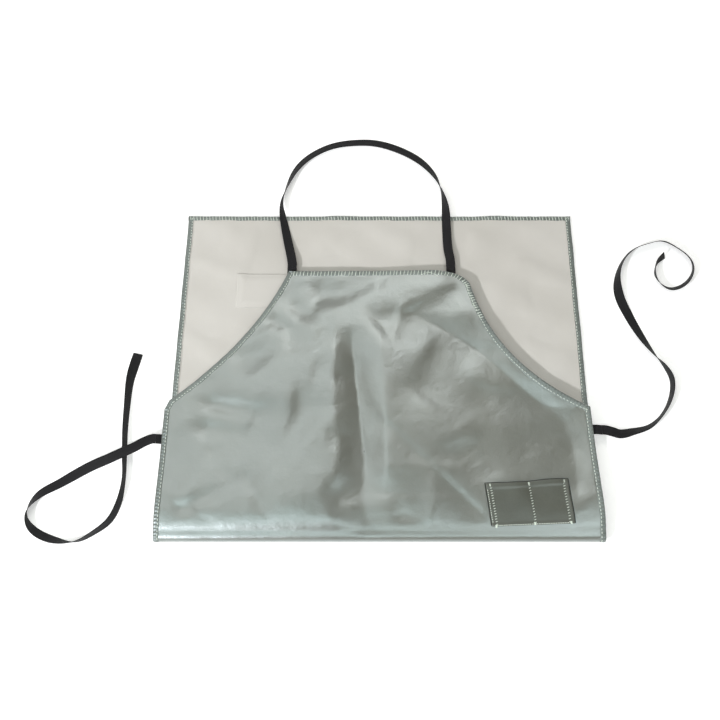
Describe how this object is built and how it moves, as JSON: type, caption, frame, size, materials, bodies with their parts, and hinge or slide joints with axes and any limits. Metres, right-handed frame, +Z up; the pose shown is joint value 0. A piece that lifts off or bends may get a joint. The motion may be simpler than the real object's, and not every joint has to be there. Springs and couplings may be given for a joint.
{
  "type": "lead apron",
  "caption": "Folded radiation protection apron with bib, two-part patch pocket, neck strap and waist ties, laid flat.",
  "frame": {"origin": "middle of the folded apron's footprint, on the surface that it lies on", "axes": "+X along the fold, across the wearer's width; +Y from the fold to the skirt's hem; +Z up, through the layers"},
  "size_m": [0.9668, 0.6528, 0.0238],
  "materials": {
    "coated_fabric": "grey-green satin fabric with a thin coating, soft sheen",
    "binding_fabric": "the same grey-green fabric, turned over and overlocked",
    "lining_fabric": "matt cream coated lining",
    "lead_sheet": "matt dark grey lead-loaded vinyl",
    "thread": "pale green-white sewing thread",
    "black_tape": "black herringbone cotton tape"
  },
  "bodies": {
    "skirt": {"skirt_outer_cover": "coated_fabric", "skirt_lead_sheet_front": "lead_sheet", "skirt_lead_sheet_back": "lead_sheet", "skirt_lining": "lining_fabric", "skirt_side_binding_left": "binding_fabric", "skirt_side_binding_right": "binding_fabric", "skirt_hem_binding": "binding_fabric", "lining_patch": "lining_fabric", "fold_outer_cover": "coated_fabric", "fold_lead_sheet_front": "lead_sheet", "fold_lead_sheet_back": "lead_sheet", "fold_lining": "lining_fabric", "fold_binding_left": "binding_fabric", "fold_binding_right": "binding_fabric"},
    "bib": {"bib_outer_cover": "coated_fabric", "bib_lead_sheet_front": "lead_sheet", "bib_lead_sheet_back": "lead_sheet", "bib_lining": "lining_fabric", "bib_top_binding": "binding_fabric", "armhole_binding_left": "binding_fabric", "armhole_binding_right": "binding_fabric", "bib_side_binding_left": "binding_fabric", "bib_side_binding_right": "binding_fabric", "pocket_panel": "coated_fabric", "pocket_seam_thread": "thread", "neck_strap_sewn_end_left": "black_tape", "neck_strap_sewn_end_right": "black_tape", "left_tie_sewn_end": "black_tape", "right_tie_sewn_end": "black_tape"},
    "neck_strap": {"neck_strap_tape": "black_tape"},
    "left_tie": {"left_tie_tape": "black_tape"},
    "right_tie": {"right_tie_tape": "black_tape"}
  },
  "joints": [
    {"name": "fold", "type": "hinge", "parent": "skirt", "child": "bib", "pos_m": [0, -0.2525, 0.012], "axis": [1, 0, 0], "range_deg": [0, 180], "deforming": ["fold_outer_cover", "fold_lead_sheet_front", "fold_lead_sheet_back", "fold_lining", "fold_binding_left", "fold_binding_right"]},
    {"name": "neck_strap_swing", "type": "hinge", "parent": "bib", "child": "neck_strap", "pos_m": [0, 0.1592, 0.01385], "axis": [-1, 0, 0], "range_deg": [-135, 0]},
    {"name": "left_tie_swing", "type": "hinge", "parent": "bib", "child": "left_tie", "pos_m": [-0.3142, -0.1095, 0.01385], "axis": [0, -1, 0], "range_deg": [-135, 0]},
    {"name": "right_tie_swing", "type": "hinge", "parent": "bib", "child": "right_tie", "pos_m": [0.3142, -0.0965, 0.01385], "axis": [0, 1, 0], "range_deg": [-135, 0]}
  ]
}
